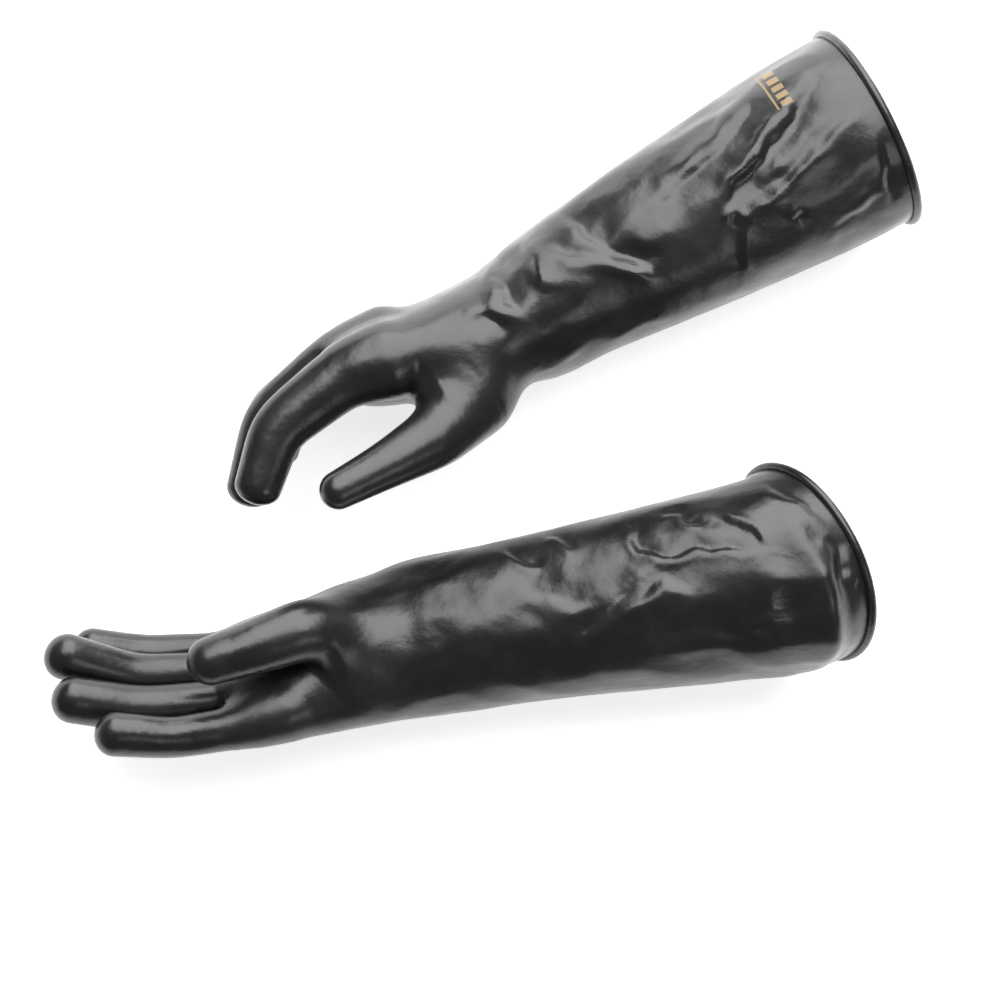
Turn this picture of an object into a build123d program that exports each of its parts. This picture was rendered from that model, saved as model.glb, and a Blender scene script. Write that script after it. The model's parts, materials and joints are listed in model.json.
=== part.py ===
"""A pair of long rubber insulating gloves lying side by side on a flat surface.

Both gloves are right-hand gloves of one size, 460 mm class.  The open glove lies on the
back of its hand with the palm up.  The curled glove lies on its little-finger side with
the thumb up.  Each glove is a thin rubber skin, taken apart where it bends: stiff shells
(gauntlet, hand, finger segments) with soft folds between them.

Frame: +Z up, the resting surface is Z = 0, millimetres, the pair centred on the origin.
"""
from build123d import *
from math import cos, radians, sin
import os

os.makedirs("parts", exist_ok=True)

# ---------------------------------------------------------------- driving dimensions
WALL = 1.5                  # thickness of the dipped rubber
CUFF_BORE_RADIUS = 55.0     # inside of the cuff mouth
CUFF_RIM = 18.0             # length of the straight cylindrical rim behind the mouth
BEAD_RADIUS = 2.5           # rolled bead round the mouth
FOREARM = (50.0, 49.0)      # half width and half thickness halfway along the gauntlet
WRIST = (46.0, 38.0)        # the same at the wrist
PALM = (50.0, 27.5)         # the same across the middle of the palm
KNUCKLES = (54.0, 25.0)     # the same at the roots of the fingers
PALM_LENGTH = 110.0         # wrist hinge to knuckle hinges
MID_PALM = 55.0             # wrist hinge to the middle section of the palm
FINGER_SPACING = 25.0       # between neighbouring finger axes
WRIST_REACH = 13.0          # half length of the wrist fold, either side of its hinge
KNUCKLE_REACH = 9.0         # the same for a knuckle fold
JOINT_REACH = 8.5           # the same for a middle-joint fold
THUMB_ROOT_REACH = 8.0      # the same for the fold at the root of the thumb
THUMB_JOINT_REACH = 7.0     # the same for the fold in the middle of the thumb

# name: (place in the row counted from the middle of the hand, hinge to hinge length,
#        hinge to tip centre, radius at the knuckle, at the middle joint, at the tip)
FINGERS = {
    "index": (1.5, 47.0, 35.0, 12.2, 11.8, 11.6),
    "middle": (0.5, 54.0, 41.0, 12.2, 12.0, 12.0),
    "ring": (-0.5, 51.0, 39.0, 12.2, 12.0, 11.8),
    "little": (-1.5, 38.0, 31.0, 11.8, 11.3, 11.1),
}
THUMB_RADII = (19.0, 15.6, 13.8, 12.8)   # inside the palm, at the root, at the joint, at the tip

# How each glove lies.  Points are in the pair's frame; bearings turn from +X towards +Y;
# a roll of 0 has the palm straight up and a positive roll leans it to the thumb side.
# The arch is how far each knuckle stands towards the palm from the middle of the hand.
# The thumb is four points, from inside the palm to the centre of its round tip.
GLOVES = {
    "open": {
        "cuff": (183.0, -93.0, 54.1),
        "cuff_axis": (0.811, 0.387, -0.438),
        "wrist": (-32.0, -136.0, 45.4),
        "bearing": 195.0,
        "roll_wrist": 30.0,
        "roll_knuckles": 52.0,
        "bends": {"index": (11.0, 18.0), "middle": (18.0, 22.0),
                  "ring": (12.0, 18.0), "little": (10.0, 15.0)},
        "arch": {"index": 0.0, "middle": 0.0, "ring": 0.0, "little": 0.0},
        "thumb": ((-62.0, -126.0, 60.0), (-95.0, -129.5, 88.0),
                  (-122.0, -139.0, 93.0), (-147.0, -147.0, 95.0)),
    },
    "curled": {
        "cuff": (216.4, 149.0, 59.8),
        "cuff_axis": (0.884, 0.456, -0.105),
        "wrist": (29.0, 47.0, 54.1),
        "bearing": 197.4,
        "roll_wrist": -90.0,
        "roll_knuckles": -90.0,
        "bends": {"index": (21.0, 29.0), "middle": (21.0, 33.0),
                  "ring": (22.0, 32.0), "little": (24.0, 30.0)},
        "arch": {"index": 5.0, "middle": -5.0, "ring": -4.0, "little": 3.0},
        "thumb": ((8.0, 12.0, 75.0), (-23.6, -24.4, 96.0),
                  (-48.6, -38.9, 107.0), (-73.6, -52.2, 114.0)),
    },
}


# ---------------------------------------------------------------- small helpers
def section(origin, along, across):
    """Plane of a cross-section: its normal is `along`, its local X is nearly `across`."""
    normal = Vector(along).normalized()
    side = Vector(across)
    side = (side - normal * side.dot(normal)).normalized()
    return Plane(origin=origin, x_dir=side, z_dir=normal)


def hand_axes(bearing, roll):
    """Directions to the fingertips, to the thumb side and out of the palm."""
    turn, lean = radians(bearing), radians(roll)
    forward = Vector(cos(turn), sin(turn), 0)
    level = Vector(sin(turn), -cos(turn), 0)
    up = Vector(0, 0, 1)
    thumb_side = level * cos(lean) - up * sin(lean)
    palm_out = up * cos(lean) + level * sin(lean)
    return forward, thumb_side, palm_out


def save(builder, label):
    """Name a finished piece and write it."""
    builder.part.label = label
    export_step(builder.part, f"parts/{label}.step")


# ---------------------------------------------------------------- kinds of piece
def make_fold(label, start, end, radii):
    """Soft tube of a bending zone, between two cross-sections."""
    width, height = radii
    with BuildPart() as fold:
        for shrink, mode in ((0, Mode.ADD), (WALL, Mode.SUBTRACT)):
            for plane in (start, end):
                with BuildSketch(plane):
                    if width == height:
                        Circle(width - shrink)
                    else:
                        Ellipse(width - shrink, height - shrink)
            loft(ruled=True, mode=mode)
    save(fold, label)


def make_segment(label, start, length, root_radius, end_radius):
    """Open tapered tube, from the plane `start` along its normal."""
    with BuildPart() as segment:
        with BuildSketch(Plane(start.origin, x_dir=start.x_dir, z_dir=-start.y_dir)):
            with BuildLine():
                Polyline((root_radius - WALL, 0), (root_radius, 0), (end_radius, length),
                         (end_radius - WALL, length), close=True)
            make_face()
        revolve(axis=Axis(start.origin, start.z_dir))
    save(segment, label)


def make_tip(label, start, length, root_radius, tip_radius):
    """Tapered tube that is closed by a round tip centred `length` from its start."""
    inner_tip = tip_radius - WALL
    with BuildPart() as tip:
        with BuildSketch(Plane(start.origin, x_dir=start.x_dir, z_dir=-start.y_dir)):
            with BuildLine():
                Polyline((inner_tip, length), (root_radius - WALL, 0), (root_radius, 0),
                         (tip_radius, length))
                CenterArc((0, length), tip_radius, 0, 90)
                Line((0, length + tip_radius), (0, length + inner_tip))
                CenterArc((0, length), inner_tip, 0, 90)
            make_face()
        revolve(axis=Axis(start.origin, start.z_dir))
    save(tip, label)


# ---------------------------------------------------------------- cuff and forearm
def make_gauntlet(glove, pose):
    """Forearm shell with a straight cylindrical rim, and the rolled bead on its mouth."""
    cuff, wrist = Vector(*pose["cuff"]), Vector(*pose["wrist"])
    outward = Vector(*pose["cuff_axis"]).normalized()
    inward = (wrist - cuff).normalized()
    thumb_side = hand_axes(pose["bearing"], pose["roll_wrist"])[1]
    rim_start = cuff - outward * (CUFF_RIM + BEAD_RADIUS)
    wrist_end = wrist - inward * WRIST_REACH
    middle = (rim_start + wrist_end) / 2
    rim = section(rim_start, outward, thumb_side)
    with BuildPart() as gauntlet:
        for shrink, mode in ((0, Mode.ADD), (WALL, Mode.SUBTRACT)):
            with BuildSketch(section(wrist_end, -inward, thumb_side)):
                Ellipse(WRIST[0] - shrink, WRIST[1] - shrink)
            with BuildSketch(section(middle, -inward, thumb_side)):
                Ellipse(FOREARM[0] - shrink, FOREARM[1] - shrink)
            with BuildSketch(rim):
                Circle(CUFF_BORE_RADIUS + WALL - shrink)
            loft(mode=mode)
        with BuildSketch(rim):
            Circle(CUFF_BORE_RADIUS + WALL)
            Circle(CUFF_BORE_RADIUS, mode=Mode.SUBTRACT)
        extrude(amount=CUFF_RIM)
    save(gauntlet, f"{glove}_gauntlet")

    mouth = section(rim_start + outward * CUFF_RIM, outward, thumb_side)
    profile = Plane(mouth.origin, x_dir=mouth.x_dir, z_dir=-mouth.y_dir)
    with BuildPart() as bead:
        with BuildSketch(profile):
            with Locations((CUFF_BORE_RADIUS + BEAD_RADIUS, BEAD_RADIUS / 2)):
                Circle(BEAD_RADIUS)
            with Locations((CUFF_BORE_RADIUS + BEAD_RADIUS, -BEAD_RADIUS)):
                Rectangle(4 * BEAD_RADIUS, 2 * BEAD_RADIUS, mode=Mode.SUBTRACT)
        revolve(axis=Axis(mouth.origin, outward))
    save(bead, f"{glove}_cuff_bead")


# ---------------------------------------------------------------- hand
def make_hand(glove, pose):
    """Palm and back of the hand with the mound of the thumb, and the fold at the wrist."""
    wrist = Vector(*pose["wrist"])
    inward = (wrist - Vector(*pose["cuff"])).normalized()
    forward, wrist_side, _ = hand_axes(pose["bearing"], pose["roll_wrist"])
    knuckle_side = hand_axes(pose["bearing"], pose["roll_knuckles"])[1]
    middle_side = wrist_side + knuckle_side
    heel = section(wrist + forward * WRIST_REACH, forward, wrist_side)
    palm = section(wrist + forward * MID_PALM, forward, middle_side)
    web_distance = PALM_LENGTH - KNUCKLE_REACH
    web = section(wrist + forward * web_distance, forward, knuckle_side)
    inside_web = section(wrist + forward * (web_distance - WALL), forward, knuckle_side)
    mound, root = (Vector(*point) for point in pose["thumb"][:2])
    thumb_way = (root - mound).normalized()
    mound_start = section(mound, thumb_way, wrist_side)
    mound_end = section(root - thumb_way * THUMB_ROOT_REACH, thumb_way, wrist_side)

    with BuildPart() as hand:
        for shrink, mode, last in ((0, Mode.ADD, web), (WALL, Mode.SUBTRACT, inside_web)):
            with BuildSketch(heel):
                Ellipse(WRIST[0] - shrink, WRIST[1] - shrink)
            with BuildSketch(palm):
                Ellipse(PALM[0] - shrink, PALM[1] - shrink)
            with BuildSketch(last):
                Ellipse(KNUCKLES[0] - shrink, KNUCKLES[1] - shrink)
            loft(mode=mode)
            if mode == Mode.ADD:
                with BuildSketch(mound_start):
                    Circle(THUMB_RADII[0])
                with BuildSketch(mound_end):
                    Circle(THUMB_RADII[1])
                loft()
        with BuildSketch(mound_start):
            Circle(THUMB_RADII[0] - WALL)
        with BuildSketch(mound_end):
            Circle(THUMB_RADII[1] - WALL)
        loft(mode=Mode.SUBTRACT)
        for finger, (place, _, _, radius, _, _) in FINGERS.items():
            with BuildSketch(web):
                with Locations((place * FINGER_SPACING, pose["arch"][finger])):
                    Circle(radius - WALL)
            extrude(amount=-2 * WALL, mode=Mode.SUBTRACT)
    save(hand, f"{glove}_hand")
    make_fold(f"{glove}_wrist_fold", section(wrist - inward * WRIST_REACH, inward, wrist_side),
              heel, WRIST)


# ---------------------------------------------------------------- fingers and thumb
def make_finger(glove, pose, finger):
    """Two stiff segments of one finger and the folds at its knuckle and middle joint."""
    place, base_length, tip_length, knuckle_radius, joint_radius, tip_radius = FINGERS[finger]
    knuckle_bend, joint_bend = pose["bends"][finger]
    forward, side, palm_out = hand_axes(pose["bearing"], pose["roll_knuckles"])
    name = f"{glove}_{finger}"

    def curled(angle):
        return forward * cos(radians(angle)) + palm_out * sin(radians(angle))

    base_way = curled(knuckle_bend)
    tip_way = curled(knuckle_bend + joint_bend)
    knuckle = (Vector(*pose["wrist"]) + forward * PALM_LENGTH + side * place * FINGER_SPACING
               + palm_out * pose["arch"][finger])
    joint = knuckle + base_way * base_length
    base_start = section(knuckle + base_way * KNUCKLE_REACH, base_way, side)
    base_end = section(joint - base_way * JOINT_REACH, base_way, side)
    tip_start = section(joint + tip_way * JOINT_REACH, tip_way, side)
    make_fold(f"{name}_knuckle_fold", section(knuckle - forward * KNUCKLE_REACH, forward, side),
              base_start, (knuckle_radius, knuckle_radius))
    make_segment(f"{name}_base", base_start, base_length - KNUCKLE_REACH - JOINT_REACH,
                 knuckle_radius, joint_radius)
    make_fold(f"{name}_joint_fold", base_end, tip_start, (joint_radius, joint_radius))
    make_tip(f"{name}_tip", tip_start, tip_length - JOINT_REACH, joint_radius, tip_radius)


def make_thumb(glove, pose):
    """Two stiff segments of the thumb and the folds at its root and middle."""
    mound, root, joint, tip = (Vector(*point) for point in pose["thumb"])
    root_way = (root - mound).normalized()
    base_way = (joint - root).normalized()
    tip_way = (tip - joint).normalized()
    side = hand_axes(pose["bearing"], pose["roll_wrist"])[1]
    _, root_radius, joint_radius, tip_radius = THUMB_RADII
    base_start = section(root + base_way * THUMB_ROOT_REACH, base_way, side)
    base_end = section(joint - base_way * THUMB_JOINT_REACH, base_way, side)
    tip_start = section(joint + tip_way * THUMB_JOINT_REACH, tip_way, side)
    base_length = (joint - root).length - THUMB_ROOT_REACH - THUMB_JOINT_REACH
    make_fold(f"{glove}_thumb_root_fold", section(root - root_way * THUMB_ROOT_REACH, root_way, side),
              base_start, (root_radius, root_radius))
    make_segment(f"{glove}_thumb_base", base_start, base_length, root_radius, joint_radius)
    make_fold(f"{glove}_thumb_joint_fold", base_end, tip_start, (joint_radius, joint_radius))
    make_tip(f"{glove}_thumb_tip", tip_start, (tip - joint).length - THUMB_JOINT_REACH,
             joint_radius, tip_radius)


# ---------------------------------------------------------------- the pair
for glove_name, glove_pose in GLOVES.items():
    make_gauntlet(glove_name, glove_pose)
    make_hand(glove_name, glove_pose)
    make_thumb(glove_name, glove_pose)
    for finger_name in FINGERS:
        make_finger(glove_name, glove_pose, finger_name)
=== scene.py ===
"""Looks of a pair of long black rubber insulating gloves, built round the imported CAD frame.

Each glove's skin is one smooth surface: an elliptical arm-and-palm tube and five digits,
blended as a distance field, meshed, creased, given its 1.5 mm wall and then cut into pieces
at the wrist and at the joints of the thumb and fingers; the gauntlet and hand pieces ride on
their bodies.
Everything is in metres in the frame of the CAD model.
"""
import json
import math

import bpy
import numpy as np
import openvdb
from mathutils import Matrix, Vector, noise
from mathutils.bvhtree import BVHTree

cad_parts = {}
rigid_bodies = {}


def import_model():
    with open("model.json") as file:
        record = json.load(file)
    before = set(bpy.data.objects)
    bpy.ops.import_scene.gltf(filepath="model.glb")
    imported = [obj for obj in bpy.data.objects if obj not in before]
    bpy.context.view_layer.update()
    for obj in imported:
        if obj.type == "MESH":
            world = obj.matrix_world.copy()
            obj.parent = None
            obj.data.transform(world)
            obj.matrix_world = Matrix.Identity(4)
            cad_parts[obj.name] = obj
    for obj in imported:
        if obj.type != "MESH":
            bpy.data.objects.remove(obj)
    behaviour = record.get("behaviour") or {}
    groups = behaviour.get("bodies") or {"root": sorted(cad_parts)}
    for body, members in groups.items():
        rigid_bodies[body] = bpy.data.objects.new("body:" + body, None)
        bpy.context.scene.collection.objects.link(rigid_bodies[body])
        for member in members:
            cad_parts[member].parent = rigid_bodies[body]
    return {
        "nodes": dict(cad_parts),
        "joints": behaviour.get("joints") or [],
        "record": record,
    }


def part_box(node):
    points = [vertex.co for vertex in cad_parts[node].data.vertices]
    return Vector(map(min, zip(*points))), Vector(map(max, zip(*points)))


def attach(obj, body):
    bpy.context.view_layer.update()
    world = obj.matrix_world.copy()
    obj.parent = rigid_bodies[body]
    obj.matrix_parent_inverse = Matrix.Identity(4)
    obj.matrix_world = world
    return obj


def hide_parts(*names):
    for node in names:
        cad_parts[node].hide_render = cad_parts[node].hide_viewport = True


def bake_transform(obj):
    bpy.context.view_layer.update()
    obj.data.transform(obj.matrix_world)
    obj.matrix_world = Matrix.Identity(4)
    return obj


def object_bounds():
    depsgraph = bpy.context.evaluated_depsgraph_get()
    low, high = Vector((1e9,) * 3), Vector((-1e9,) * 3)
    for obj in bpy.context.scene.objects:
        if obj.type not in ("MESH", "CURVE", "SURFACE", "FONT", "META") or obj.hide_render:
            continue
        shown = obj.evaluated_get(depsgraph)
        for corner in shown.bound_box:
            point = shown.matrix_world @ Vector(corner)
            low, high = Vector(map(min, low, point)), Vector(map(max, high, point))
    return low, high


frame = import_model()
cad_low, cad_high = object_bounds()

MM = 0.001
GLOVES = ("open", "curled")
FINGERS = ("index", "middle", "ring", "little")
WALL = 1.5 * MM
VOXEL = 1.7 * MM     # cell of the field that the skin is meshed from
FIELD_MARGIN = 9 * MM                          # how far round the CAD shape the field reaches

# girth of the arm and palm: (place, half width, half thickness); places 0 to 1 run from the
# rim to the wrist hinge and 1 to 2 from the wrist hinge to the knuckle row
GIRTH = {
    "open": ((0.00, 57.0, 57.0), (0.16, 53.5, 53.5), (0.50, 49.0, 48.0), (0.80, 46.0, 43.5),
             (1.00, 46.0, 39.5), (1.20, 44.0, 34.5), (1.50, 43.5, 30.0), (1.80, 44.5, 26.0),
             (1.95, 44.0, 21.5), (2.02, 41.0, 15.0)),
    "curled": ((0.00, 57.0, 57.0), (0.16, 55.8, 55.8), (0.50, 50.0, 49.0), (0.85, 47.0, 41.5),
               (1.00, 46.5, 39.0), (1.20, 47.5, 33.5), (1.50, 50.0, 28.0), (1.80, 51.0, 25.5),
               (1.95, 48.0, 22.0), (2.02, 44.0, 17.0)),
}
# how far the middle of the tube stands to the palm's side of the CAD line: (place, distance)
TUBE_SHIFT = {
    "open": ((0, 0), (2, 0)),
    "curled": ((0.85, 0), (1.0, 2.0), (1.2, 4.5), (1.45, 5.0), (1.7, 3.5), (1.9, 1.5)),
}
# radius of the digits in millimetres: in the palm, knuckle, middle joint, tip
DIGIT_GIRTH = {
    "open": {"index": (11.5, 11.8, 11.2, 11.2), "middle": (12.0, 12.3, 12.0, 12.2),
             "ring": (12.0, 12.4, 12.2, 12.2), "little": (11.0, 11.2, 10.6, 11.4),
             "thumb": (22.0, 17.2, 15.2, 13.4)},
    "curled": {"index": (15.5, 13.7, 11.7, 10.0), "middle": (16.8, 13.7, 11.4, 10.2),
               "ring": (14.0, 12.2, 10.8, 9.8), "little": (11.0, 11.0, 10.2, 9.6),
               "thumb": (23.5, 17.4, 13.2, 10.6)},
}
# a finger is this much deeper, back to front, than it is wide
FINGER_DEPTH = {"open": 1.12, "curled": 1.3}
# how far the end of a digit is drawn back (or, negative, reaches on) from its CAD tip
TIP_DRAWN_BACK = {"open_index": 6.0, "curled_thumb": -3.0, "curled_little": 5.0,
                  "curled_ring": 2.0}
# how far a knuckle is moved along the knuckle row, towards the little finger
KNUCKLE_MOVED = {"open_index": 7.0, "open_little": -3.5}
# how far a finger's middle joint and tip stand to the palm's side of their CAD places
RAISED = {"open_middle": -0.8, "open_ring": 1.5, "open_little": 1.5,
          "curled_little": -9.5, "curled_ring": -6.0}
# how far its middle joint and its tip are drawn home, straight back towards the wrist
DRAWN_HOME = {"curled_index": (0.5, 4.0), "curled_middle": (3.0, 6.5), "curled_ring": (1.5, 3.5)}
# the heel that the mound of the thumb points to: on from the wrist, and out of the palm
MOUND_HEEL = {"open": (30, 6), "curled": (10, 15)}
TIP_RADIUS = {"finger": 11 * MM, "thumb": 13 * MM}
FINGER_GAP = 1.5 * VOXEL     # neighbouring fingers stand this far apart where they would touch
WEB_END = 7 * MM             # the fingers part this far beyond the knuckle row


# ------------------------------------------------------------------ reading the frame
def unit(v):
    v = np.asarray(v, float)
    return v / np.linalg.norm(v)


def node_points(name):
    return np.array([v.co for v in frame["nodes"][name].data.vertices], float)


class GloveFrame:
    """Where one glove's mouth, hinges and directions are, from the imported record."""

    def __init__(self, name):
        self.name = name
        hinges = {j["name"][len(name) + 1:]: j for j in frame["joints"]
                  if j["name"].startswith(name + "_") and j["type"] == "hinge"}
        self.at = {key: np.array(j["pos_m"]) for key, j in hinges.items()}
        self.bodies = {key: (j["parent"], j["child"]) for key, j in hinges.items()}
        mouth = next(m for m in frame["record"]["mounts"] if m["name"] == name + "_cuff_mouth")
        self.out = unit(mouth["axis"])
        self.rim_length = mouth["dims"]["length_mm"] * MM
        self.mouth = np.array(mouth["pos_m"]) + self.out * self.rim_length / 2
        self.wrist_side = unit(hinges["wrist"]["axis"])
        self.side = unit(hinges["index_knuckle"]["axis"])
        self.row = np.mean([self.at[f + "_knuckle"] for f in FINGERS], axis=0)
        self.forward = unit(self.row - self.at["wrist"])
        self.palm_out = unit(np.cross(self.side, self.forward))
        self.tips = {f: self.tip_centre(f, TIP_RADIUS["finger"]) for f in FINGERS}
        self.tips["thumb"] = self.tip_centre("thumb", TIP_RADIUS["thumb"])
        self.axis = unit((self.at["wrist"] - self.mouth) * (1, 1, 0))
        self.across = np.array([-self.axis[1], self.axis[0], 0.0])

    def tip_centre(self, digit, radius):
        """Centre of a digit's round tip: the far end of its CAD node, less the tip's radius."""
        points = node_points(f"{self.name}_{digit}_tip")
        joint = self.at[digit + "_joint"]
        far = points[np.argmax(np.linalg.norm(points - joint, axis=1))]
        drawn_back = TIP_DRAWN_BACK.get(f"{self.name}_{digit}", 0) * MM
        return far - unit(far - joint) * (radius + drawn_back)

    def plan(self, points):
        """Each point seen in plan, in millimetres: in from the mouth, and across the glove."""
        rel = (points - self.mouth) / MM
        return np.stack([rel @ self.axis, rel @ self.across], axis=1)


# ------------------------------------------------------------------ distance fields
def smooth_path(knots, values, count, window):
    """Values along a knotted line, at `count` even steps, with their corners rounded."""
    u = np.linspace(knots[0], knots[-1], count)
    values = np.asarray(values, float)
    line = np.stack([np.interp(u, knots, column) for column in values.T], axis=1)
    kernel = np.hanning(window + 2)[1:-1]
    kernel /= kernel.sum()
    half = window // 2
    ends = (2 * line[0] - line[half:0:-1], line, 2 * line[-1] - line[-2:-half - 2:-1])
    padded = np.concatenate(ends)
    return np.stack([np.convolve(c, kernel, "valid") for c in padded.T], axis=1)


FAR = 1.0                        # a distance beyond any in the field


def smooth_min(a, b, k):
    """The lesser of two distances, with a fillet of width k where they cross."""
    h = np.maximum(k - np.abs(a - b), 0) / k
    return np.minimum(a, b) - h * h * k / 4


def blend_width(ahead, start, length, least, most):
    """Width of a fillet that is `most` up to `start` and then fades to a share of `least`."""
    return np.clip(1 - (ahead - start) / length, least, 1) * most


class Arm:
    """The tube of elliptical sections from beyond the mouth to the knuckle row."""

    STEPS = 420
    ROUNDING = 31                # steps over which the corners of its line are rounded
    OVERRUN = 12 * MM            # it starts this far beyond the mouth, where it is cut off
    SEARCHES = 5                 # rounds in which a point's place along the line is found

    def __init__(self, glove):
        wrist = glove.at["wrist"]
        rim_start = glove.mouth - glove.out * glove.rim_length
        knots, centres, sides, widths = [], [], [], []
        for place, width, depth in GIRTH[glove.name]:
            if place <= 1:
                centre = rim_start + (wrist - rim_start) * place
                side = glove.wrist_side
            else:
                centre = wrist + (glove.row - wrist) * (place - 1)
                side = glove.wrist_side * (2 - place) + glove.side * (place - 1)
            shift = np.interp(place, *zip(*TUBE_SHIFT[glove.name]))
            centres.append(centre + glove.palm_out * shift * MM)
            sides.append(unit(side))
            widths.append((width * MM, depth * MM))
        centres.insert(0, glove.mouth + glove.out * self.OVERRUN)
        sides.insert(0, sides[0])
        widths.insert(0, widths[0])
        steps = np.linalg.norm(np.diff(centres, axis=0), axis=1)
        knots = np.concatenate([[0], np.cumsum(steps)])
        table = np.hstack([centres, sides, widths])
        table = smooth_path(knots, table, self.STEPS, self.ROUNDING)
        self.centre, side, self.half = table[:, :3], table[:, 3:6], table[:, 6:8]
        along = np.gradient(self.centre, axis=0)
        self.step = np.linalg.norm(along, axis=1).mean()
        self.along = along / np.linalg.norm(along, axis=1)[:, None]
        side = side - self.along * np.sum(side * self.along, axis=1)[:, None]
        self.side = side / np.linalg.norm(side, axis=1)[:, None]
        self.front = np.cross(self.side, self.along)

    def place(self, p):
        """Place of each point along the tube, as a fractional row of the tables."""
        chord = self.centre[-1] - self.centre[0]
        row = (p - self.centre[0]) @ chord / (chord @ chord) * (self.STEPS - 1)
        for _ in range(self.SEARCHES):
            near = np.clip(np.rint(row).astype(int), 0, self.STEPS - 1)
            row = near + np.sum((p - self.centre[near]) * self.along[near], axis=1) / self.step
        return row

    def distance(self, p):
        row = self.place(p)
        inside = np.clip(row, 0, self.STEPS - 1.001)
        low = inside.astype(int)
        part = (inside - low)[:, None]
        mix = lambda t: t[low] * (1 - part) + t[low + 1] * part
        rel = p - mix(self.centre)
        x, y = np.sum(rel * mix(self.side), axis=1), np.sum(rel * mix(self.front), axis=1)
        half = mix(self.half)
        k0 = np.hypot(x / half[:, 0], y / half[:, 1])
        k1 = np.hypot(x / half[:, 0] ** 2, y / half[:, 1] ** 2)
        radial = k0 * (k0 - 1) / np.maximum(k1, 1e-6)
        beyond = np.maximum(np.maximum(row - self.STEPS + 1, -row), 0) * self.step
        return np.where(beyond > 0, np.hypot(np.maximum(radial, 0), beyond), radial)


class Digit:
    """A tapering round limb along a smoothly bent line, a little deeper than it is wide."""

    STEPS = 45
    ROUNDING = 15                # steps over which the corners of its line are rounded
    REACH = 30 * MM              # its field is worked out this far from its surface

    def __init__(self, points, radii, side, depth):
        steps = np.linalg.norm(np.diff(points, axis=0), axis=1)
        knots = np.concatenate([[0], np.cumsum(steps)])
        table = np.hstack([points, np.array(radii)[:, None] * MM])
        table = smooth_path(knots, table, self.STEPS, self.ROUNDING)
        self.line, self.radius = table[:, :3], table[:, 3]
        self.line[-1], self.radius[-1] = points[-1], radii[-1] * MM
        self.side, self.depth = side, depth
        reach = self.radius.max() * depth + self.REACH
        self.low, self.high = self.line.min(axis=0) - reach, self.line.max(axis=0) + reach

    def distance(self, p):
        best = np.full(len(p), FAR)
        for a, b, ra, rb in zip(self.line, self.line[1:], self.radius, self.radius[1:]):
            way = b - a
            h = np.clip((p - a) @ way / (way @ way), 0, 1)
            off = p - a - h[:, None] * way
            front = unit(np.cross(self.side, way))
            off -= front * (off @ front)[:, None] * (1 - 1 / self.depth)
            best = np.minimum(best, np.linalg.norm(off, axis=1) - (ra + h * (rb - ra)))
        return best


class Skin:
    """Distance to the outside of one glove."""

    PALM_BLEND = 9 * MM          # width of the fillet between the fingers and the palm
    WEB_BLEND = 5 * MM           # between two fingers, at the web
    THUMB_BLEND = 26 * MM        # and between the thumb and the rest
    FINGER_ROOT = 26 * MM        # a finger's line starts this far back in the palm
    MOUND_LENGTH = 34 * MM       # and the thumb's this far towards the heel of the hand
    # where a fillet starts to fade, over what length, and the share of it that stays
    WEB_FADE = (-4 * MM, 10 * MM, 0.02)
    THUMB_FADE = (-12 * MM, 18 * MM, 0.05)

    def __init__(self, glove):
        self.glove = glove
        self.arm = Arm(glove)
        at, back = glove.at, -glove.forward * self.FINGER_ROOT
        girth = DIGIT_GIRTH[glove.name]
        self.digits = {}
        for f in FINGERS:
            moved = KNUCKLE_MOVED.get(f"{glove.name}_{f}", 0) * MM
            knuckle = at[f + "_knuckle"] - glove.side * moved
            raised = glove.palm_out * RAISED.get(f"{glove.name}_{f}", 0) * MM
            home = [-glove.forward * d * MM for d in DRAWN_HOME.get(f"{glove.name}_{f}", (0, 0))]
            joint, tip = at[f + "_joint"] + raised + home[0], glove.tips[f] + raised + home[1]
            points = [knuckle + back, knuckle, joint, tip]
            depth = FINGER_DEPTH[glove.name]
            self.digits[f] = Digit(points, girth[f], glove.side, depth)
        root = at["thumb_root"]
        onward, outward = MOUND_HEEL[glove.name]
        heel = at["wrist"] + (glove.forward * onward + glove.palm_out * outward) * MM
        mound = root + unit(heel - root) * self.MOUND_LENGTH
        points = [mound, root, at["thumb_joint"], glove.tips["thumb"]]
        self.thumb_way = unit(at["thumb_joint"] - root)
        self.digits["thumb"] = Digit(points, girth["thumb"], glove.side, 1.0)

    def distance(self, p):
        arm = self.arm.distance(p)
        ahead = (p - self.glove.row) @ self.glove.forward
        fingers, nearest, second = (np.full(len(p), FAR) for _ in range(3))
        for name in FINGERS:
            digit = self.digits[name]
            near = np.all((p > digit.low) & (p < digit.high), axis=1)
            if not near.any():
                continue
            own = digit.distance(p[near])
            # the web between two fingers is filleted, and the fingers beyond it stay apart
            web = blend_width(ahead[near], *self.WEB_FADE, self.WEB_BLEND)
            fingers[near] = smooth_min(fingers[near], own, web)
            second[near] = np.minimum(second[near], np.maximum(nearest[near], own))
            nearest[near] = np.minimum(nearest[near], own)
        total = smooth_min(arm, fingers, self.PALM_BLEND)
        slot = np.minimum(FINGER_GAP - (second - nearest), ahead - WEB_END)
        total = np.maximum(total, slot / 2)
        thumb = self.digits["thumb"]
        near = np.all((p > thumb.low) & (p < thumb.high), axis=1)
        if near.any():
            past_root = (p[near] - self.glove.at["thumb_root"]) @ self.thumb_way
            blend = blend_width(past_root, *self.THUMB_FADE, self.THUMB_BLEND)
            total[near] = smooth_min(total[near], thumb.distance(p[near]), blend)
        return total


SETTLING_ROUNDS, SETTLING_SHARE = 3, 0.9     # how the mesh is moved onto the surface itself


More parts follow.
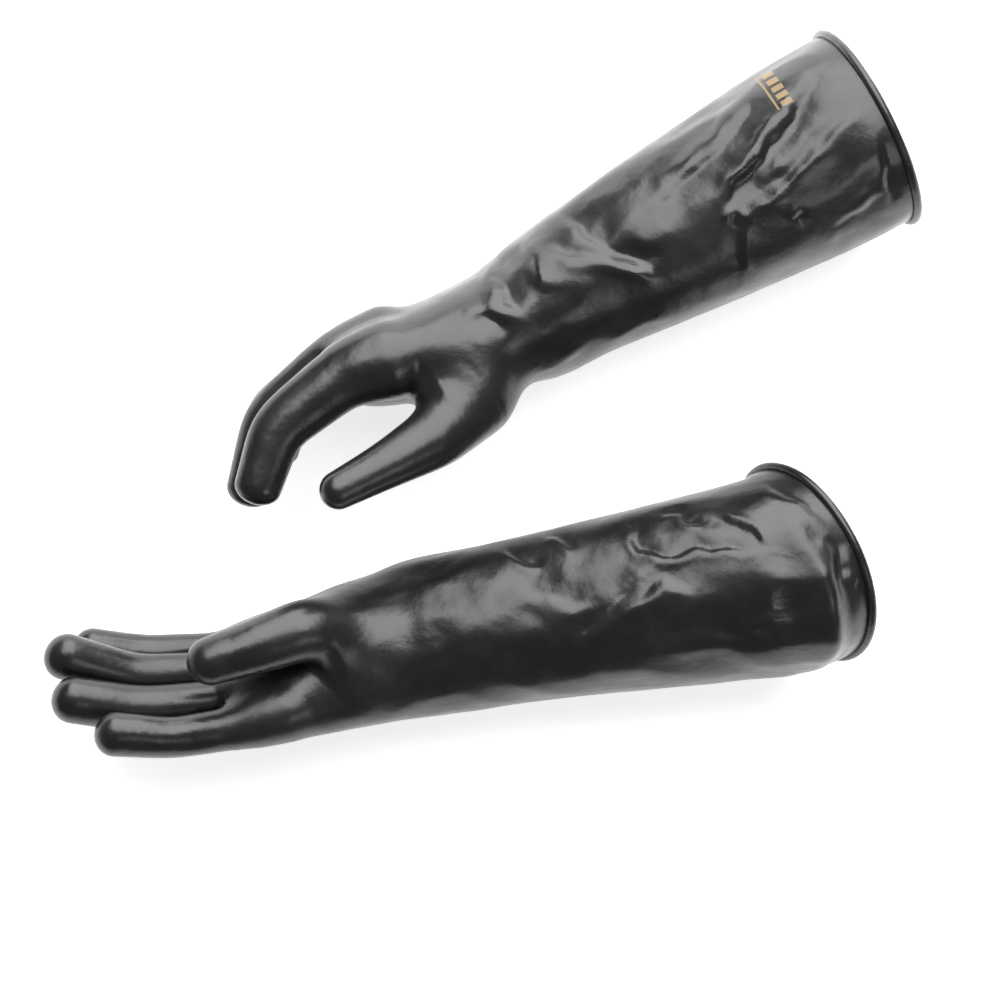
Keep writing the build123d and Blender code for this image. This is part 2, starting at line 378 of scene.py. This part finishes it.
def meshed(skin):
    """Vertices and quads of a skin's surface, each vertex moved onto the surface itself."""
    names = [n for n in frame["nodes"] if n.startswith(skin.glove.name + "_")]
    corners = np.array([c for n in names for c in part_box(n)])
    low = corners.min(axis=0) - FIELD_MARGIN
    count = np.ceil((corners.max(axis=0) + FIELD_MARGIN - low) / VOXEL).astype(int)
    axes = [low[i] + VOXEL * np.arange(count[i]) for i in range(3)]
    field = np.empty(count, np.float32)
    for i, x in enumerate(axes[0]):
        y, z = np.meshgrid(axes[1], axes[2], indexing="ij")
        p = np.stack([np.full(y.size, x), y.ravel(), z.ravel()], axis=1)
        field[i] = skin.distance(p).reshape(y.shape)
    grid = openvdb.FloatGrid(FAR)
    grid.copyFromArray(field)
    points, quads = grid.convertToQuads(0.0)
    points = points.astype(float) * VOXEL + low
    for _ in range(SETTLING_ROUNDS):
        normals = vertex_normals(points, quads)
        points -= normals * skin.distance(points)[:, None] * SETTLING_SHARE
    return points, quads


def vertex_normals(points, quads):
    diagonal_a = points[quads[:, 2]] - points[quads[:, 0]]
    diagonal_b = points[quads[:, 3]] - points[quads[:, 1]]
    face = np.cross(diagonal_a, diagonal_b)
    normals = np.zeros_like(points)
    for corner in range(4):
        np.add.at(normals, quads[:, corner], face)
    return normals / np.maximum(np.linalg.norm(normals, axis=1), 1e-12)[:, None]


# ------------------------------------------------------------------ creases and dents
# Creases of the arms, in plan: points (in from the mouth, across the glove), depth and
# width, all in millimetres.  The side to the right of the line is steep, the other gentle.
# A negative depth is a raised fold.
CREASES = {
    "open": (
        (((-17, -13), (-16, 0), (-15, 12)), 3.4, 6.5),
        (((-19, 18), (-25, 8), (-25, -2), (-19, -14)), -1.8, 3.5),
        (((74, -43), (63, -41), (60, -35), (52, -35)), 1.6, 2.6),
        (((90, -47), (90, -27), (79, -21), (57, -21), (24, -14)), 1.8, 3.6),
        (((24, -14), (28, -24), (48, -35)), 1.4, 3.0),
        (((139, -44), (124, -36)), 1.3, 3.0),
        (((163, -42), (144, -27)), 1.5, 3.6),
        (((159, -20), (138, -10), (123, -3)), 1.2, 6.0),
        (((138, 15), (112, 2), (92, -12)), 1.6, 6.0),
        (((110, 2), (95, -2), (80, -10), (62, 0)), 1.5, 5.0),
        (((46, 22), (28, 20), (8, 27)), 1.0, 5.0),
        (((15, -48), (-2, -35), (-16, -21)), 1.2, 4.0),
        (((96, 18), (60, 24), (24, 40)), 0.9, 7.0),
    ),
    "curled": (
        (((12, -36), (48, -17), (98, 5)), 3.4, 5.4),
        (((45, -42), (75, -27), (131, -12)), 2.6, 7.0),
        (((2, -7), (59, 9), (93, 15)), -1.8, 4.5),
        (((88, 10), (96, 15)), 1.6, 3.6),
        (((55, 24), (64, 29)), 1.6, 3.6),
        (((102, 36), (92, 14)), 1.3, 3.4),
        (((188, -24), (158, -2), (138, 15)), 2.2, 5.0),
        (((171, -40), (164, -22), (152, 2), (140, 16)), 2.2, 6.0),
        (((211, -38), (221, -10), (217, 2)), 2.4, 5.4),
        (((0, 13), (9, 43)), 1.6, 4.0),
        (((14, 41), (47, 42)), 1.2, 4.0),
        (((198, -36), (196, -20), (204, -4)), -1.8, 5.0),
        (((224, 6), (236, -7), (248, -7)), 1.4, 4.0),
    ),
}


def smooth_step(x):
    x = np.clip(x, 0, 1)
    return x * x * (3 - 2 * x)


def line_distance(p, line):
    """Distance in plan from each point to a polyline, its side, and the share passed there."""
    line = np.asarray(line, float)
    lengths = np.linalg.norm(np.diff(line, axis=0), axis=1)
    before = np.concatenate([[0], np.cumsum(lengths)])
    best, share, side = np.full(len(p), 1e9), np.zeros(len(p)), np.zeros(len(p))
    for a, b, length, start in zip(line, line[1:], lengths, before):
        h = np.clip((p - a) @ (b - a) / length ** 2, 0, 1)
        off = p - a - h[:, None] * (b - a)
        d = np.linalg.norm(off, axis=1)
        closer = d < best
        best = np.where(closer, d, best)
        share = np.where(closer, (start + h * length) / before[-1], share)
        turn = ((b - a)[0] * off[:, 1] - (b - a)[1] * off[:, 0]) / length
        side = np.where(closer, turn, side)
    return best, side, share


END_DEPTH, END_FADE = 0.2, 3.0       # a crease starts a little deep, and deepens this fast
STEEP_REACH, GENTLE_REACH = 0.55, 1.7        # how far its two sides reach, in widths
SIDE_TURN = 0.6                      # widths over which one side turns into the other
LIP_HEIGHT, LIP_PLACE, LIP_WIDTH = 0.4, 1.35, 0.75   # of the lip, in depths and widths


def crease_lift(plan, line, depth, width):
    """Height of one crease: steep to one side with a soft lip there, gentle to the other."""
    d, side, share = line_distance(plan, line)
    fade = smooth_step(np.minimum(share, 1 - share) * END_FADE + END_DEPTH)
    gentle = smooth_step(side / (SIDE_TURN * width) + 0.5)
    reach = width * (STEEP_REACH + (GENTLE_REACH - STEEP_REACH) * gentle)
    valley = np.exp(-(d / reach) ** 2)
    lip = np.exp(-((d - LIP_PLACE * width) / (LIP_WIDTH * width)) ** 2) * (1 - gentle)
    return (LIP_HEIGHT * lip - valley) * depth * fade * MM


def rubber_noise(points, size, seed):
    """Smooth noise with bumps about `size` metres across."""
    offset = Vector((seed * 7.31, seed * 3.17, seed * 5.71))
    return np.array([noise.noise(Vector(p) + offset) for p in points / size])


DENT_SIZE, DENT_HEIGHT = 42 * MM, 3.0 * MM           # broad dents of the arm
FOLD_SIZE, FOLD_HEIGHT = 24 * MM, 1.7 * MM           # ridged folds of the arm
FOLD_LEVEL, FOLD_ROUNDING = 0.22, 0.006      # noise value where they stand level; their rounding
RIPPLE_SIZE, RIPPLE_HEIGHT = 15 * MM, 0.3 * MM       # small ripples of the whole skin
ARM_RIPPLE_HEIGHT = 0.25 * MM                        # what the arm adds to them
WANDER_SIZE, WANDER = 11 * MM, 2.4                   # creases wander by so many millimetres
DRAWN_OUT = 0.4              # dents and folds are 1 / (1 - this) times as long along the arm
ARM_FADE = (40 * MM, 60 * MM)        # the arm's relief ends this far past the wrist; its fade
RIM_FADE = 16 * MM                   # all relief is calmer this close to the mouth
UNDERSIDE_TURN, UNDERSIDE_SQUEEZE = 170, -0.8        # the underside has the creases turned round
TOP_START, TOP_CHANGE = -0.15, 0.5   # upward slope at which it changes to the top's creases
RIM_CALM, UPRIGHT_CALM = 0.75, 0.7   # shares of the relief taken away at the rim and at the sides
UPRIGHT_SLOPE = 0.5                  # a side is steeper than this


def relief(skin, points, normals):
    """How far each point of a skin is moved along its normal by dents, creases and folds."""
    glove = skin.glove
    seed = 1 + GLOVES.index(glove.name)
    plan = glove.plan(points)
    ahead = (points - glove.at["wrist"]) @ glove.forward
    on_arm = smooth_step(-(ahead - ARM_FADE[0]) / ARM_FADE[1])
    stretched = points - DRAWN_OUT * (points @ glove.axis)[:, None] * glove.axis
    folds = rubber_noise(stretched, FOLD_SIZE, seed)
    lift = rubber_noise(stretched, DENT_SIZE, seed + 2) * DENT_HEIGHT * on_arm
    lift += (FOLD_LEVEL - np.sqrt(folds ** 2 + FOLD_ROUNDING)) * FOLD_HEIGHT * on_arm
    ripple_height = RIPPLE_HEIGHT + ARM_RIPPLE_HEIGHT * on_arm
    lift += rubber_noise(points, RIPPLE_SIZE, seed + 4) * ripple_height
    wander = np.stack([rubber_noise(points, WANDER_SIZE, seed + 6),
                       rubber_noise(points, WANDER_SIZE, seed + 8)], axis=1) * WANDER
    top = smooth_step((normals[:, 2] - TOP_START) / TOP_CHANGE)
    for line, depth, width in CREASES[glove.name]:
        lift += crease_lift(plan + wander, line, depth, width) * top
        turned = [(UNDERSIDE_TURN - s, UNDERSIDE_SQUEEZE * w) for s, w in line]
        lift += crease_lift(plan + wander, turned, depth, width) * (1 - top)
    near_rim = smooth_step(1 - (points - glove.mouth) @ -glove.out / RIM_FADE)
    upright = smooth_step(1 - np.abs(normals[:, 2]) / UPRIGHT_SLOPE)
    return lift * (1 - RIM_CALM * near_rim) * (1 - UPRIGHT_CALM * upright)


# ------------------------------------------------------------------ cutting into pieces
KNUCKLE_BEND = (6 * MM, 21 * MM)     # a finger turns between these distances past its knuckle
THUMB_BEND = (3 * MM, 15 * MM)       # the same past the root of the thumb
JOINT_BEND = {"finger": 8.5 * MM, "thumb": 7 * MM}    # half length of the turn at a middle joint
WRIST_BAND = 24 * MM                 # half length of the wrist piece
PALM_END = -2 * MM                   # where the palm piece stops, counted from the knuckles
THUMB_START = THUMB_BEND[0] - 2 * MM     # where the thumb's first piece starts, past its root
THUMB_CUT = THUMB_BEND[1] + 2.5 * MM     # and where it meets the second


def piece_labels(skin, centres):
    """Name of the piece that each face belongs to."""
    glove = skin.glove
    at = glove.at
    labels = np.full(len(centres), "hand", object)
    along = (centres - at["wrist"]) @ glove.forward
    labels[along < WRIST_BAND] = "wrist"
    labels[along < -WRIST_BAND] = "gauntlet"
    near = {name: digit.distance(centres) for name, digit in skin.digits.items()}
    rest = np.minimum(skin.arm.distance(centres), np.min([near[f] for f in FINGERS], axis=0))
    past_root = (centres - at["thumb_root"]) @ skin.thumb_way
    thumb = (near["thumb"] < rest) & (past_root > THUMB_START)
    ahead = (centres - glove.row) @ glove.forward
    beside = (centres - glove.row) @ glove.side
    row = np.array([(at[f + "_knuckle"] - glove.row) @ glove.side for f in FINGERS])
    nearest = np.argmin(np.abs(beside[:, None] - row), axis=1)
    for i, f in enumerate(FINGERS):
        mine = (ahead > PALM_END) & (nearest == i) & ~thumb
        way = unit(at[f + "_joint"] - at[f + "_knuckle"])
        past = (centres - at[f + "_knuckle"]) @ way
        labels[mine] = f + "_root"
        labels[mine & (past > cut_distance(glove, f))] = f + "_end"
    labels[thumb] = "thumb_root"
    labels[thumb & (past_root > cut_distance(glove, "thumb"))] = "thumb_end"
    return labels


def cut_distance(glove, digit):
    """Where a digit's two pieces meet, past its first hinge: between its two bends."""
    if digit == "thumb":
        return THUMB_CUT
    length = np.linalg.norm(glove.at[digit + "_joint"] - glove.at[digit + "_knuckle"])
    return (KNUCKLE_BEND[1] + length - JOINT_BEND["finger"]) / 2


def shell(name, points, normals, quads, material):
    """One piece of the skin with its wall thickness, shaded with the whole skin's normals."""
    used, local = np.unique(quads, return_inverse=True)
    outer = local.reshape(quads.shape)
    count = len(used)
    edges = np.stack([outer, np.roll(outer, -1, axis=1)], axis=2).reshape(-1, 2)
    keys = np.sort(edges, axis=1)
    _, first, times = np.unique(keys, axis=0, return_index=True, return_counts=True)
    rim = edges[first[times == 1]]
    walls = np.stack([rim[:, 1], rim[:, 0], rim[:, 0] + count, rim[:, 1] + count], axis=1)
    faces = np.concatenate([outer, outer[:, ::-1] + count, walls])
    inside = points[used] - normals[used] * WALL
    mesh = bpy.data.meshes.new(name)
    mesh.from_pydata(np.concatenate([points[used], inside]).tolist(), [], faces.tolist())
    mesh.polygons.foreach_set("use_smooth", np.ones(len(faces), bool))
    shading = np.concatenate([normals[used], -normals[used]])
    mesh.normals_split_custom_set_from_vertices(shading.tolist())
    mesh.materials.append(material)
    piece = bpy.data.objects.new(name, mesh)
    bpy.context.scene.collection.objects.link(piece)
    return piece


MOUTH_SLACK = 0.6 * VOXEL    # faces that reach this far beyond the mouth's plane are kept
RIM_REACH = 3 * VOXEL        # an open edge this close to that plane is the mouth's edge
BEAD_RADIUS = 2.5 * MM
BEAD_SWELL = 0.05            # share by which the bead's radius varies
BEAD_OUT = 0.6 * MM          # the bead's centre stands this far outside the skin's edge
BEAD_UP = 1.2 * MM           # and this far beyond it
BEAD_STEPS = 240
BEAD_EVENING = 6             # the ring is evened over this many steps to each side
BEAD_SIDES = 16
MARK_LIFT = 0.15 * MM        # half the thickness of the printed mark
MARK_GRID = (7, 9)           # rows and columns of points over each of its bars


def cut_mouth(glove, points, quads):
    """The surface without what lies beyond the mouth, its open edge laid on the mouth's plane."""
    beyond = (points - glove.mouth) @ glove.out
    keep = quads[np.all(beyond[quads] < MOUTH_SLACK, axis=1)]
    edges = np.stack([keep, np.roll(keep, -1, axis=1)], axis=2).reshape(-1, 2)
    _, first, times = np.unique(np.sort(edges, axis=1), axis=0,
                                return_index=True, return_counts=True)
    rim = np.unique(edges[first[times == 1]])
    rim = rim[np.abs(beyond[rim]) < RIM_REACH]
    points = points.copy()
    points[rim] -= beyond[rim, None] * glove.out
    return points, keep, rim


def make_bead(skin, points, rim, material):
    """Rolled bead: a ring that follows the slightly uneven edge of the mouth."""
    glove = skin.glove
    e1 = unit(glove.wrist_side - glove.out * (glove.wrist_side @ glove.out))
    e2 = np.cross(glove.out, e1)
    rel = points[rim] - glove.mouth
    angle = np.arctan2(rel @ e2, rel @ e1)
    radius = np.hypot(rel @ e1, rel @ e2)
    order = np.argsort(angle)
    turns = np.linspace(0, 2 * np.pi, BEAD_STEPS, endpoint=False)
    once = angle[order]
    wide_angle = np.concatenate([once - 2 * np.pi, once, once + 2 * np.pi])
    ring = np.interp(turns, wide_angle, np.tile(radius[order], 3))
    near_steps = range(-BEAD_EVENING, BEAD_EVENING + 1)
    wave = np.array([np.roll(ring, k) for k in near_steps]).mean(axis=0)
    verts, faces = [], []
    for i, (turn, r) in enumerate(zip(turns, wave)):
        way = e1 * math.cos(turn) + e2 * math.sin(turn)
        spot = Vector((3 * way[0], 3 * way[1], 3 * way[2] + 9))
        thick = BEAD_RADIUS * (1 + BEAD_SWELL * noise.noise(spot))
        centre = glove.mouth + way * (r + BEAD_OUT) + glove.out * BEAD_UP
        for k in range(BEAD_SIDES):
            a = 2 * math.pi * k / BEAD_SIDES
            verts.append(centre + (way * math.cos(a) + glove.out * math.sin(a)) * thick)
        for k in range(BEAD_SIDES):
            a, b = i * BEAD_SIDES, (i + 1) % BEAD_STEPS * BEAD_SIDES
            nxt = (k + 1) % BEAD_SIDES
            faces.append((a + k, a + nxt, b + nxt, b + k))
    mesh = bpy.data.meshes.new(glove.name + "_bead")
    mesh.from_pydata([tuple(v) for v in verts], [], faces)
    mesh.polygons.foreach_set("use_smooth", np.ones(len(faces), bool))
    mesh.materials.append(material)
    piece = bpy.data.objects.new(glove.name + "_bead", mesh)
    bpy.context.scene.collection.objects.link(piece)
    return piece


# Bars of the printed mark, in plan: from and to, in from the mouth and across, millimetres.
MARK = [((41.5, -52.0), (42.7, -29.0))] + [((33.0, -51.5 + 4.7 * k), (39.5, -48.3 + 4.7 * k))
                                           for k in range(5)]


def make_mark(glove, points, quads, material):
    """A few plain printed bars that follow the surface of the cuff."""
    surface = BVHTree.FromPolygons(points.tolist(), quads.tolist())
    rows, columns = MARK_GRID
    verts, faces = [], []
    for (s0, w0), (s1, w1) in MARK:
        first = len(verts)
        for i in range(rows):
            for k in range(columns):
                s, w = s0 + (s1 - s0) * i / (rows - 1), w0 + (w1 - w0) * k / (columns - 1)
                over = glove.mouth + (glove.axis * s + glove.across * w) * MM
                place, normal, _, _ = surface.ray_cast(Vector((over[0], over[1], 1.0)),
                                                       Vector((0, 0, -1)))
                verts += [place + normal * MARK_LIFT, place - normal * MARK_LIFT]
        for i in range(rows - 1):
            for k in range(columns - 1):
                a = first + 2 * (i * columns + k)
                b = a + 2 * columns
                faces += [(a, a + 2, b + 2, b), (a + 1, b + 1, b + 3, a + 3)]
    mesh = bpy.data.meshes.new(glove.name + "_mark")
    mesh.from_pydata([tuple(v) for v in verts], [], faces)
    mesh.polygons.foreach_set("use_smooth", np.ones(len(faces), bool))
    mesh.materials.append(material)
    piece = bpy.data.objects.new(glove.name + "_mark", mesh)
    bpy.context.scene.collection.objects.link(piece)
    return piece


# ------------------------------------------------------------------ materials
POWDERED = 2.1               # how many times lighter the rubber is where it is powdery


def rubber(name, grey, roughness):
    """Dipped black rubber: fine grain, uneven gloss and a trace of dry powder."""
    material = bpy.data.materials.new(name)
    material.use_nodes = True
    nodes, links = material.node_tree.nodes, material.node_tree.links
    shader = nodes["Principled BSDF"]
    place = nodes.new("ShaderNodeTexCoord")
    shader.inputs["Specular IOR Level"].default_value = 0.5
    shader.inputs["IOR"].default_value = 1.52

    def cloud(scale, detail):
        texture = nodes.new("ShaderNodeTexNoise")
        texture.inputs["Scale"].default_value = scale
        texture.inputs["Detail"].default_value = detail
        links.new(place.outputs["Object"], texture.inputs["Vector"])
        return texture

    def ramp(source, low, high, positions=(0.3, 0.7)):
        band = nodes.new("ShaderNodeMapRange")
        band.inputs["From Min"].default_value, band.inputs["From Max"].default_value = positions
        band.inputs["To Min"].default_value, band.inputs["To Max"].default_value = low, high
        links.new(source, band.inputs["Value"])
        return band.outputs["Result"]

    def bump(texture, strength, distance):
        relief_node = nodes.new("ShaderNodeBump")
        relief_node.inputs["Strength"].default_value = strength
        relief_node.inputs["Distance"].default_value = distance
        links.new(texture.outputs["Fac"], relief_node.inputs["Height"])
        return relief_node

    patches = cloud(28, 4)
    links.new(ramp(patches.outputs["Fac"], roughness - 0.06, roughness + 0.08),
              shader.inputs["Roughness"])
    powder = nodes.new("ShaderNodeMix")
    powder.data_type = "RGBA"
    powder.inputs["A"].default_value = (grey, grey, grey * 1.04, 1)
    powder.inputs["B"].default_value = (grey * POWDERED, grey * POWDERED, grey * POWDERED, 1)
    links.new(ramp(cloud(90, 6).outputs["Fac"], 0.0, 0.55, (0.45, 0.8)), powder.inputs["Factor"])
    links.new(powder.outputs["Result"], shader.inputs["Base Color"])
    fine = bump(cloud(2600, 3), 0.22, 0.12 * MM)
    soft = bump(cloud(160, 3), 0.35, 0.7 * MM)
    links.new(fine.outputs["Normal"], soft.inputs["Normal"])
    links.new(soft.outputs["Normal"], shader.inputs["Normal"])
    return material


# ------------------------------------------------------------------ building the gloves
def replaced_nodes(glove, label):
    """CAD nodes that a piece of skin stands for."""
    n = glove.name
    if label in ("hand", "gauntlet"):
        return [f"{n}_{label}"]
    if label == "wrist":
        return [n + "_wrist_fold"]
    digit, part = label.split("_")
    if part == "root":
        fold = "_root_fold" if digit == "thumb" else "_knuckle_fold"
        return [f"{n}_{digit}{fold}", f"{n}_{digit}_base"]
    return [f"{n}_{digit}_joint_fold", f"{n}_{digit}_tip"]


def fix_piece(glove, label, piece):
    """Hide the CAD nodes one piece of skin stands for; the gauntlet and hand pieces ride on their
    bodies, the others keep their place.
    """
    n, at = glove.name, glove.at
    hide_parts(*replaced_nodes(glove, label))
    if label == "gauntlet":
        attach(piece, glove.bodies["wrist"][0])
    elif label == "hand":
        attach(piece, glove.bodies["wrist"][1])
    elif label == "wrist":
        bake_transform(piece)
    else:
        digit, part = label.split("_")
        if part == "root":
            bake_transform(piece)
        else:
            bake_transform(piece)


def make_glove(name, skin_material, bead_material, mark_material):
    glove = GloveFrame(name)
    skin = Skin(glove)
    points, quads = meshed(skin)
    points, quads, rim = cut_mouth(glove, points, quads)
    normals = vertex_normals(points, quads)
    points = points + normals * relief(skin, points, normals)[:, None]
    beyond = (points[rim] - glove.mouth) @ glove.out
    points[rim] -= beyond[:, None] * glove.out
    normals = vertex_normals(points, quads)
    labels = piece_labels(skin, points[quads].mean(axis=1))
    for label in sorted(set(labels)):
        mine = quads[labels == label]
        piece = shell(f"{name}_{label}_skin", points, normals, mine, skin_material)
        fix_piece(glove, label, piece)
    bead = make_bead(skin, points, rim, bead_material)
    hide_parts(name + "_cuff_bead")
    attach(bead, glove.bodies["wrist"][0])
    if name == "curled":
        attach(make_mark(glove, points, quads, mark_material), glove.bodies["wrist"][0])


def paint(name, colour):
    material = bpy.data.materials.new(name)
    material.use_nodes = True
    shader = material.node_tree.nodes["Principled BSDF"]
    shader.inputs["Base Color"].default_value = (*colour, 1)
    shader.inputs["Roughness"].default_value = 0.45
    return material


skin_rubber = rubber("black_rubber", 0.008, 0.28)
bead_rubber = rubber("black_rubber_bead", 0.009, 0.26)
mark_paint = paint("gold_paint", (0.17, 0.115, 0.05))
for glove_name in GLOVES:
    make_glove(glove_name, skin_rubber, bead_rubber, mark_paint)


# ------------------------------------------------------------------ floor, light and camera
FLOOR_SIZE = 8.0
FLOOR_GLOW = 0.7             # the floor shines a little, so that it stays white


def make_floor():
    bpy.ops.mesh.primitive_plane_add(size=FLOOR_SIZE)
    floor = bpy.context.object
    floor.name = "floor"
    material = bpy.data.materials.new("pale_floor")
    material.use_nodes = True
    shader = material.node_tree.nodes["Principled BSDF"]
    shader.inputs["Base Color"].default_value = (0.9, 0.9, 0.9, 1)
    shader.inputs["Roughness"].default_value = 0.8
    shader.inputs["Emission Color"].default_value = (1, 1, 1, 1)
    shader.inputs["Emission Strength"].default_value = FLOOR_GLOW
    floor.data.materials.append(material)


def make_light(name, place, target, size, power):
    light = bpy.data.lights.new(name, "AREA")
    light.shape = "RECTANGLE"
    light.size, light.size_y = size
    light.energy = power
    lamp = bpy.data.objects.new(name, light)
    lamp.location = place
    lamp.rotation_euler = (Vector(target) - Vector(place)).to_track_quat("-Z", "Y").to_euler()
    bpy.context.scene.collection.objects.link(lamp)


def make_world(brightness):
    world = bpy.data.worlds.new("studio")
    world.use_nodes = True
    world.node_tree.nodes["Background"].inputs["Color"].default_value = (1, 1, 1, 1)
    world.node_tree.nodes["Background"].inputs["Strength"].default_value = brightness
    bpy.context.scene.world = world


CAMERA_HEIGHT = 2.2          # above the middle of the gloves' thickness
VIEW_WIDTH = 0.5556          # width of the stretch that the picture shows there
VIEW_OFFSET = (0.0097, -0.0589)      # of the picture's middle from the middle of the pair
SENSOR = 36.0


def make_camera():
    """Straight above the pair, with its longer side across the picture."""
    camera = bpy.data.cameras.new("camera")
    camera.sensor_width = SENSOR
    camera.lens = SENSOR * CAMERA_HEIGHT / VIEW_WIDTH
    eye = bpy.data.objects.new("camera", camera)
    middle = (Vector(cad_low) + Vector(cad_high)) / 2
    eye.location = (middle.x + VIEW_OFFSET[0], middle.y + VIEW_OFFSET[1],
                    middle.z + CAMERA_HEIGHT)
    bpy.context.scene.collection.objects.link(eye)
    bpy.context.scene.camera = eye


make_floor()
make_world(brightness=0.16)
make_light("key", (0.12, 0.97, 0.97), (0.0, 0, 0.05), size=(1.8, 2.2), power=74)
make_light("fill", (0.9, -1.0, 1.4), (0, 0, 0.05), size=(0.6, 0.6), power=3)
make_camera()
bpy.context.scene.view_settings.view_transform = "Standard"
